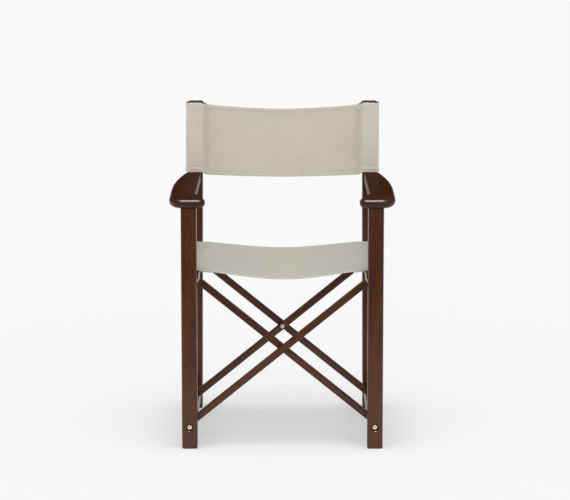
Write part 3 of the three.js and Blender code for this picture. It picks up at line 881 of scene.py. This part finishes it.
@functools.cache
def seat_path(y):
    """The path of the seat's whole section, right to left, at this distance behind its front edge."""
    t = y / SEAT_DEPTH
    near_front = math.exp(-((t / SAG_FADE["front"]) ** 2))
    near_rear = math.exp(-(((1 - t) / SAG_FADE["rear"]) ** 2))
    sag = SEAT_SAG["middle"] + (SEAT_SAG["front"] - SEAT_SAG["middle"]) * near_front
    sag += (SEAT_SAG["rear"] - SEAT_SAG["middle"]) * near_rear
    half = seat_section(sag)
    return follow(half + [Vector((-p.x, p.y)) for p in reversed(half[:-1])])


def round_rail(spot):
    """1 for a spot on the seat's loops round its rails, 0 on the sheet between them."""
    return smooth_step((abs(spot.x) - seat_rail.x + LOOP_RADIUS) / LOOP_FADE + 0.5)


def seat_place(u, v):
    """The seat's middle surface: u along its section, as a share of its length, v behind its front."""
    at, length = seat_path(v)
    spot = at(u * length)
    from_end = min(v, SEAT_DEPTH - v)
    looped = round_rail(spot)
    rail_axis = Vector((math.copysign(seat_rail.x, spot.x), seat_rail.z))
    spot = spot + (rail_axis - spot).normalized() * max(0.0, SEAT_TUCK - from_end) * looped
    # The cloth behind the tucked-in end moves up to the end, less and less farther in.
    slide = min(from_end, SEAT_TUCK * (1 - smooth_step((from_end - SEAT_TUCK) / TUCK_FADE))) * looped
    slide = slide if v < SEAT_DEPTH / 2 else -slide
    reach = abs(spot.x) / seat_rail.x
    lift = 0.0
    # The sheet between the loops is uneven, and its front edge droops.
    if spot.y > seat_rail.z - LOOP_FADE and reach < 0.93:
        near_rail = math.exp(-((1 - reach) * seat_rail.x / WAVE_FADE["rail"]))
        lift = ripple(spot.x, v, SEAT_WAVES["rail"]) * near_rail
        lift += ripple(spot.x, v, SEAT_WAVES["middle"]) * (1 - reach ** 4)
        lift -= SEAT_DROOP * max(0.0, 1 - v / HEM) ** 1.5 * min(1.0, 6 * (1 - reach))
    return Vector((spot.x, SEAT_FRONT + v - slide, spot.y + lift))


seat_length = seat_path(SEAT_DEPTH / 2)[1]
seat_columns = [u / seat_length for u in even(0, seat_length, 0.0045)]


def seat_hem_sides(u, v):
    """On the loops the hem is turned outwards, and doesn't show on their tucked-in ends."""
    at, length = seat_path(v)
    looped = round_rail(at(u * length))
    tucked = min(v, SEAT_DEPTH - v) <= SEAT_TUCK
    return (0 if tucked else looped), 1 - looped


seat = cloth("seat_cloth", seat_columns, stations(SEAT_DEPTH), seat_place, CANVAS / 4,
             unit=seat_length, hem_sides=seat_hem_sides)
dress(seat, seat_canvas, CLOTH_SMOOTH)
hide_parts("seat_panel", "left_seat_sleeve", "right_seat_sleeve")


def seat_u(x):
    """The share of the section's length where its upper layer passes x, at mid depth."""
    shares = [k / 1200 for k in range(240, 961)]
    return min(shares, key=lambda k: abs(seat_place(k, SEAT_DEPTH / 2).x - x))


seat_lines = []
for sign in (-1, 1):
    for inset in SEAT_SEAMS:
        share = seat_u(sign * (seat_rail.x - LOOP_RADIUS - inset))
        spots = [(share, v) for v in even(0.004, SEAT_DEPTH - 0.004, SEAM_PITCH)]
        seat_lines.append(seam_line(seat_place, spots, 1))
hem_reach = seat_rail.x - 0.004
seat_lines += hem_lines(seat_place, SEAT_DEPTH, seat_u(hem_reach), seat_u(-hem_reach))
seat_stitching = stitches("seat_stitching", seat_lines, seat_thread, 21)
for soft in (seat, seat_stitching):
    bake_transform(soft)


# -------------------- back
def back_edges(share):
    """(bottom, top) heights of the back between its seams. share is 0 at the middle, 1 at a seam."""
    pairs = zip(BACK_EDGES["middle"], BACK_EDGES["seam"])
    return [at_middle + (at_seam - at_middle) * share ** BACK_EDGE_POWER for at_middle, at_seam in pairs]


PANEL_HALF = BACK_SEAM_X + CANVAS
PANEL_HEIGHT = BACK_EDGES["seam"][1] - BACK_EDGES["seam"][0]


def panel_place(u, v):
    """The back between its seams: u from -PANEL_HALF to PANEL_HALF, v from 0 to PANEL_HEIGHT."""
    share = u / PANEL_HALF
    bottom, top = back_edges(abs(share))
    t = v / PANEL_HEIGHT
    y = POST_MIDDLE_Y + BACK_BOW * (1 - share ** 2)
    near_seam = math.exp(-(PANEL_HALF - abs(u)) / WAVE_FADE["seam"])
    y += ripple(u, v, BACK_WAVES["seam"]) * near_seam
    y += ripple(u, v, BACK_WAVES["middle"]) * (1 - share ** 4)
    curl = math.exp(-(min(v, PANEL_HEIGHT - v) / BACK_CURL["reach"])) * (1 - share ** 2)
    return Vector((u, y - BACK_CURL["height"] * curl, bottom + (top - bottom) * t))


panel_columns = even(-PANEL_HALF, PANEL_HALF, SHEET_PITCH)
panel = cloth("back_cloth", panel_columns, stations(PANEL_HEIGHT), panel_place, CANVAS / 2)
dress(panel, back_canvas, CLOTH_SMOOTH)
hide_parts("back_panel")
panel_lines = hem_lines(panel_place, PANEL_HEIGHT, -BACK_SEAM_X + SEAM_END, BACK_SEAM_X - SEAM_END)
panel_stitching = stitches("back_hem_stitching", panel_lines, back_thread, 22)

for soft in (panel, panel_stitching):
    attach(soft, "left_side")
    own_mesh(soft)


def tangent_angle(point, centre, radius, side):
    """The angle on a circle, in degrees, where a line from an outside point touches it."""
    toward = point - centre
    return math.degrees(math.atan2(toward.y, toward.x) + side * math.acos(radius / toward.length))


@functools.cache
def sleeve_path(side, z):
    """The path of a back sleeve at height z: from its seam round the post and back behind the seam."""
    centre = Vector((post_x(z), POST_MIDDLE_Y))
    reach = LEG / 2 + POST_CLEARANCE + CANVAS / 2 - SLEEVE_CORNER
    seam = Vector((BACK_SEAM_X, POST_MIDDLE_Y))
    inner_front, inner_rear = centre + Vector((-reach, -reach)), centre + Vector((-reach, reach))
    outer_front, outer_rear = centre + Vector((reach, -reach)), centre + Vector((reach, reach))
    behind = Vector((BACK_SEAM_X + 0.001, POST_MIDDLE_Y + BEHIND_SEAM))
    end = Vector((BACK_SEAM_X - BACK_ALLOWANCE, POST_MIDDLE_Y + BEHIND_SEAM + 0.0004))
    bulge = reach + SLEEVE_CORNER + SLEEVE_BULGE
    front_angle = tangent_angle(seam, inner_front, SLEEVE_CORNER, 1) % 360
    rear_angle = tangent_angle(behind, inner_rear, SLEEVE_CORNER, -1) % 360
    points = [seam, *arc(inner_front, SLEEVE_CORNER, front_angle, 270, 8), centre + Vector((0, -bulge)),
              *arc(outer_front, SLEEVE_CORNER, 270, 360, 8), centre + Vector((bulge, 0)),
              *arc(outer_rear, SLEEVE_CORNER, 0, 90, 8), centre + Vector((0, bulge)),
              *arc(inner_rear, SLEEVE_CORNER, 90, rear_angle, 8), behind, end]
    return follow([Vector((side * p.x, p.y)) for p in points])


SLEEVE_HEIGHT = BACK_EDGES["sleeve"][1] - BACK_EDGES["sleeve"][0]


def sleeve(side_name, side):
    """A back sleeve with its stitching. Near its seam, it meets the back's edges."""
    bottom, seam_bottom = BACK_EDGES["sleeve"][0], BACK_EDGES["seam"][0]
    sample_length = sleeve_path(side, bottom + SLEEVE_HEIGHT / 2)[1]

    def place(u, v):
        z = bottom + v
        at, length = sleeve_path(side, z)
        spot = at(u * length)
        near_seam = smooth_step(1 - (abs(spot.x) - BACK_SEAM_X) / SLEEVE_EASE)
        seam_z = seam_bottom + PANEL_HEIGHT * v / SLEEVE_HEIGHT
        pucker = ripple(u * length, v, (*SLEEVE_PUCKER, side * 2.3)) * (1 - near_seam)
        from_middle = Vector((spot.x - side * post_x(z), spot.y - POST_MIDDLE_Y))
        spot = spot + from_middle.normalized() * max(pucker, -0.0004)
        return Vector((spot.x, spot.y, z + (seam_z - z) * near_seam))

    columns = [u / sample_length for u in even(0, sample_length, 0.0024)]
    piece = cloth(f"{side_name}_sleeve_cloth", columns, stations(SLEEVE_HEIGHT), place, CANVAS / 2,
                  unit=sample_length, side=-side)
    dress(piece, back_canvas, CLOTH_SMOOTH)
    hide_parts(f"{side_name}_back_sleeve")
    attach(piece, f"{side_name}_side")
    beside_seam = 0.0022 / sample_length
    spots = [(beside_seam, v) for v in even(SEAM_END, SLEEVE_HEIGHT - SEAM_END, SEAM_PITCH)]
    lines = [seam_line(place, spots, -side), *hem_lines(place, SLEEVE_HEIGHT, 0.03, 0.80, -side)]
    rows = stitches(f"{side_name}_sleeve_stitching", lines, back_thread, 23 + side)
    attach(rows, f"{side_name}_side")


sleeve("left", -1)
sleeve("right", 1)


# -------------------- hardware kept from the CAD
def dress_node(name, material):
    """Gives a CAD node its material, and welds it and slightly rounds its sharp edges with modifiers, without
    touching its mesh.
    """
    piece = frame["nodes"][name]
    piece.data.materials.clear()
    piece.data.materials.append(material)
    weld = piece.modifiers.new("weld", "WELD")
    weld.merge_threshold = 1e-6
    bevel = piece.modifiers.new("ease", "BEVEL")
    bevel.width = 0.0003
    bevel.segments = 2
    bevel.limit_method = "ANGLE"
    bevel.angle_limit = math.radians(HARDWARE_SMOOTH)


hardware = {"washer": washer_nylon, "insert": brass, "screw": steel}
for body_nodes in frame["record"]["behaviour"]["bodies"].values():
    for node_name in body_nodes:
        last_word = node_name.split("_")[-1]
        if last_word in hardware:
            dress_node(node_name, hardware[last_word])
        elif last_word == "dowel":
            dress_node(node_name, walnut(node_name, ALONG_Z, 20))


# -------------------- stage, light and camera
FLOOR_GLOW = 0.35        # the floor is lit from below by this much, which keeps its shadows pale
BACKDROP = 0.96          # brightness of the surroundings as the camera sees them
CAMERA = {"place": (0.007, FRONT - 7.094, 1.841), "down": 10.409}


def floor_material():
    """A pale floor. Its far front is darker in reflections, as beyond the edge of a studio's sweep."""
    material, tree = new_material("pale_floor")
    place = node(tree, "NewGeometry").outputs["Position"]
    far = graded(tree, coordinate(tree, place, 1), -0.75, -1.9, 1.0, 0.08)
    reflected = node(tree, "LightPath").outputs["Is Glossy Ray"]
    pale = ramp(tree, noise_value(tree, place, 3, 2),
                ((0.3, (0.540, 0.544, 0.550)), (0.7, (0.543, 0.547, 0.553))))
    glow = grey(FLOOR_GLOW)
    colour, light = (mix_colour(tree, reflected, near, tinted(tree, near, far)) for near in (pale, glow))
    paint = node(tree, "BsdfDiffuse", {"Color": colour})
    lit = node(tree, "Emission", {"Color": light, "Strength": 1.0})
    both = node(tree, "AddShader", {0: paint.outputs[0], 1: lit.outputs[0]})
    node(tree, "OutputMaterial", {"Surface": both.outputs[0]})
    return material


def floor():
    work = bmesh.new()
    bmesh.ops.create_grid(work, x_segments=8, y_segments=8, size=40)
    mesh = bpy.data.meshes.new("floor")
    work.to_mesh(mesh)
    work.free()
    mesh.materials.append(floor_material())
    add_object("floor", mesh)


def studio_world():
    """White surroundings, brighter towards the front, that reflections see as a dim room."""
    world = bpy.data.worlds.new("studio")
    bpy.context.scene.world = world
    world.use_nodes = True
    tree = world.node_tree
    tree.nodes.clear()
    direction = node(tree, "TexCoord").outputs["Generated"]
    soft = graded(tree, coordinate(tree, direction, 1), -1.0, 1.0, 1.42, 0.30)
    dim = graded(tree, coordinate(tree, direction, 2), 0.0, 0.9, 0.05, 0.24)
    path = node(tree, "LightPath").outputs
    around = node(tree, "Mix", {0: path["Is Glossy Ray"], 2: soft, 3: dim}, data_type="FLOAT")
    seen = node(tree, "Mix", {0: path["Is Camera Ray"], 2: around.outputs[0], 3: BACKDROP}, data_type="FLOAT")
    background = node(tree, "Background", {"Color": (1, 0.995, 0.985, 1), "Strength": seen.outputs[0]})
    node(tree, "OutputWorld", {"Surface": background.outputs[0]})


def lamp(name, kind, place, target, **settings):
    data = bpy.data.lights.new(name, kind)
    for key, value in settings.items():
        setattr(data, key, value)
    made = add_object(name, data)
    made.location = place
    made.rotation_euler = (Vector(target) - Vector(place)).to_track_quat("-Z", "Y").to_euler()
    return made


def lights():
    """A soft light from above, and a narrow one that only shines along the armrests' noses."""
    above = lamp("overhead", "SUN", (0, -0.2, 3), (0, 0, 0), energy=0.80, angle=math.radians(18))
    above.visible_glossy = False
    strip = lamp("strip", "AREA", (0, -0.95, 2.6), (0, -0.2, 0.6),
                 shape="RECTANGLE", size=1.5, size_y=0.12, energy=150)
    strip.visible_diffuse = False


def camera():
    data = bpy.data.cameras.new("camera")
    data.sensor_width = 36
    data.lens = 173.7
    data.clip_start, data.clip_end = 0.1, 200
    made = add_object("camera", data)
    made.location = CAMERA["place"]
    made.rotation_euler = (math.radians(90 - CAMERA["down"]), 0, 0)
    bpy.context.scene.camera = made


floor()
studio_world()
lights()
camera()
bpy.context.scene.view_settings.view_transform = "Standard"
